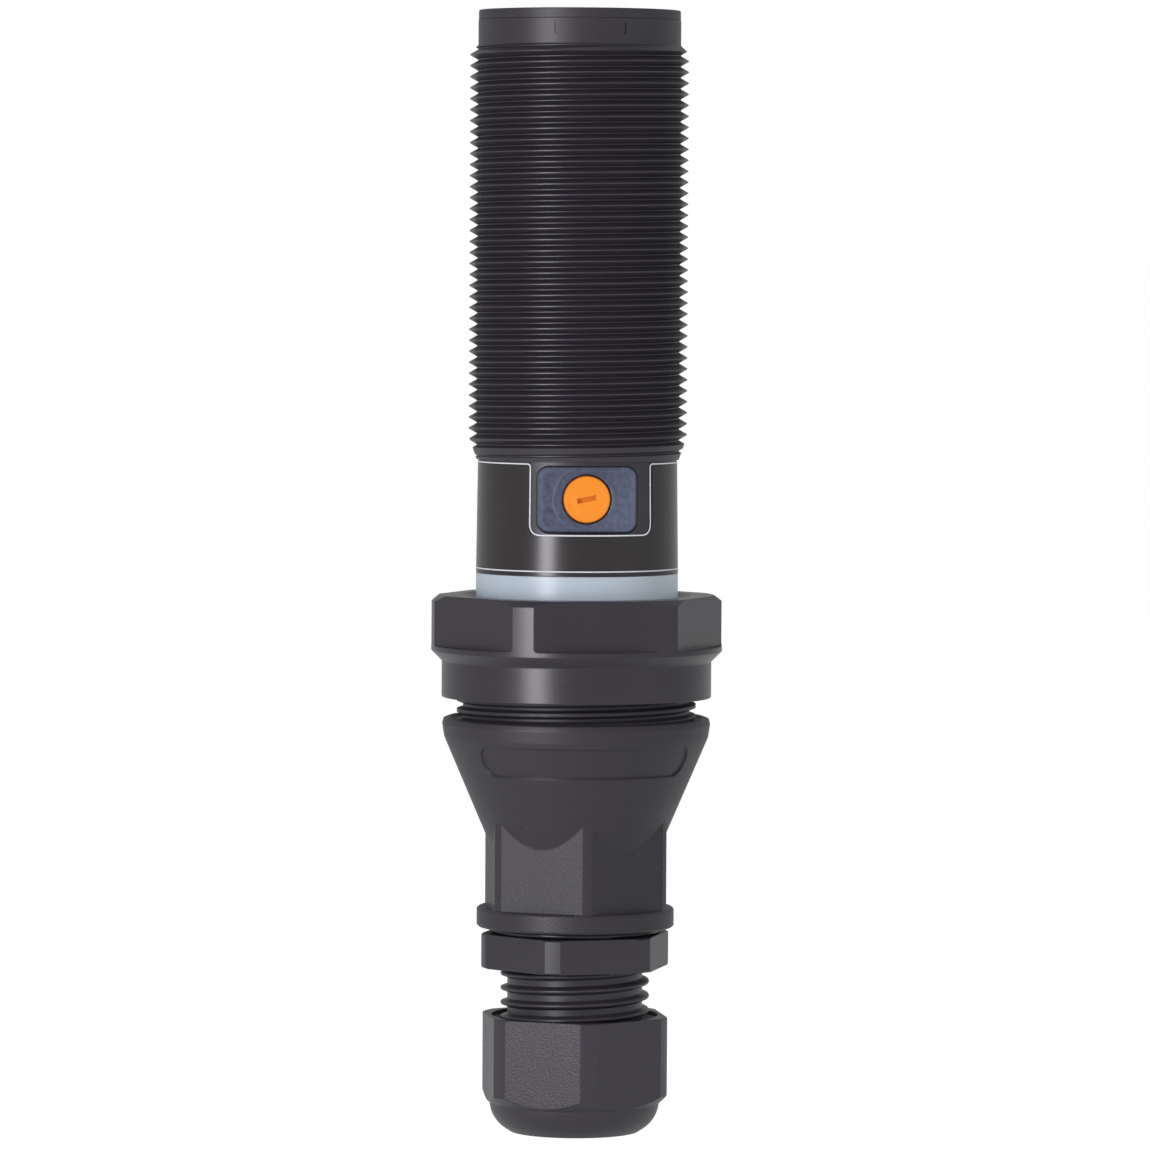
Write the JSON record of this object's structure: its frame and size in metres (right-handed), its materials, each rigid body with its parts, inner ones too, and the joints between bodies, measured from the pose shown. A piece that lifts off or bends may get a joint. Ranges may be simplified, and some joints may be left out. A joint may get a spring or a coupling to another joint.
{
  "type": "capacitive proximity sensor",
  "caption": "Threaded cylindrical proximity sensor with adjuster, light ring, union nut, conical terminal chamber and cable gland.",
  "frame": {"origin": "on the barrel's axis, at the rounded end of the cable gland's dome nut", "axes": "+Z along the barrel towards the sensing face, -Y towards the sensitivity adjuster"},
  "size_m": [0.0399, 0.0398, 0.1537],
  "materials": {
    "barrel_plastic": "satin moulded PBT, near black",
    "cap_plastic": "satin moulded PBT, near black",
    "label_film": "matte black film",
    "pad_plastic": "satin slate grey",
    "adjuster_orange": "satin orange",
    "ring_plastic": "translucent, pale blue-white",
    "chamber_plastic": "spark-eroded moulded PBT, near black",
    "nut_plastic": "satin moulded PBT, near black",
    "gland_plastic": "spark-eroded polyamide, near black",
    "seal_rubber": "smooth black elastomer",
    "board_laminate": "green glass-epoxy laminate",
    "copper": "bright copper",
    "tin_steel": "zinc-plated steel",
    "contact_brass": "tinned brass",
    "component_black": "moulded epoxy",
    "capacitor_sleeve": "shrink sleeve",
    "capacitor_box": "moulded box",
    "potting": "cast resin",
    "block_plastic": "grey polyamide",
    "trimmer_blue": "blue moulded body",
    "rotor_white": "off-white moulded rotor",
    "led_clear": "clear lens"
  },
  "bodies": {
    "sensor": {"threaded_barrel": "barrel_plastic", "front_cap": "cap_plastic", "sensing_electrode": "copper", "guard_electrode": "copper", "electrode_board": "board_laminate", "shield_tube": "contact_brass", "main_board": "board_laminate", "potting_resin": "potting", "smoothing_capacitor": "capacitor_sleeve", "film_capacitor": "capacitor_box", "output_thyristor": "component_black", "rectifier_bridge": "component_black", "control_chip": "component_black", "chip_resistors": "component_black", "signal_leds": "led_clear", "label_sleeve": "label_film", "adjuster_window": "pad_plastic", "adjuster_seal": "seal_rubber", "trimmer_body": "trimmer_blue", "light_ring": "ring_plastic", "terminal_carrier": "block_plastic", "contact_strips": "contact_brass", "terminal_block": "block_plastic", "chamber_seal": "seal_rubber"},
    "adjuster": {"adjuster_screw": "adjuster_orange", "trimmer_rotor": "rotor_white"},
    "terminal_screw_left": {"terminal_screw_left": "tin_steel"},
    "terminal_cage_left": {"terminal_cage_left": "tin_steel"},
    "terminal_screw_right": {"terminal_screw_right": "tin_steel"},
    "terminal_cage_right": {"terminal_cage_right": "tin_steel"},
    "union_nut": {"union_nut": "nut_plastic"},
    "chamber": {"terminal_chamber": "chamber_plastic", "gland_gasket": "seal_rubber", "gland_body": "gland_plastic"},
    "cable_clamp": {"clamping_cage": "gland_plastic", "sealing_insert": "seal_rubber"},
    "dome_nut": {"dome_nut": "gland_plastic"}
  },
  "joints": [
    {"name": "adjuster_turn", "type": "hinge", "parent": "sensor", "child": "adjuster", "pos_m": [0, -0.0118, 0.0873], "axis": [0, -1, 0], "range_deg": [-135, 135]},
    {"name": "terminal_left_turn", "type": "hinge", "parent": "sensor", "child": "terminal_screw_left", "pos_m": [-0.0037, -0.0076, 0.059], "axis": [0, 1, 0], "range_deg": [0, 1440]},
    {"name": "terminal_left_lift", "type": "slide", "parent": "sensor", "child": "terminal_cage_left", "axis": [0, -1, 0], "range_m": [0, 0.002]},
    {"name": "terminal_right_turn", "type": "hinge", "parent": "sensor", "child": "terminal_screw_right", "pos_m": [0.0037, -0.0076, 0.059], "axis": [0, 1, 0], "range_deg": [0, 1440]},
    {"name": "terminal_right_lift", "type": "slide", "parent": "sensor", "child": "terminal_cage_right", "axis": [0, -1, 0], "range_m": [0, 0.002]},
    {"name": "union_nut_turn", "type": "hinge", "parent": "sensor", "child": "union_nut", "pos_m": [0, 0, 0.0668], "axis": [0, 0, 1], "range_deg": [0, 1620]},
    {"name": "chamber_draw", "type": "slide", "parent": "sensor", "child": "chamber", "axis": [0, 0, -1], "range_m": [0, 0.00675]},
    {"name": "cable_clamp_slide", "type": "slide", "parent": "chamber", "child": "cable_clamp", "axis": [0, 0, 1], "range_m": [-0.005, 0.004]},
    {"name": "dome_nut_turn", "type": "hinge", "parent": "cable_clamp", "child": "dome_nut", "pos_m": [0, 0, 0.01], "axis": [0, 0, 1], "range_deg": [-900, 720]}
  ],
  "couplings": [
    {"joint": "terminal_left_turn", "follows": "terminal_left_lift", "rad_per_m": 12566},
    {"joint": "terminal_right_turn", "follows": "terminal_right_lift", "rad_per_m": 12566},
    {"joint": "union_nut_turn", "follows": "chamber_draw", "rad_per_m": 4188.8},
    {"joint": "dome_nut_turn", "follows": "cable_clamp_slide", "rad_per_m": 3141.6}
  ]
}
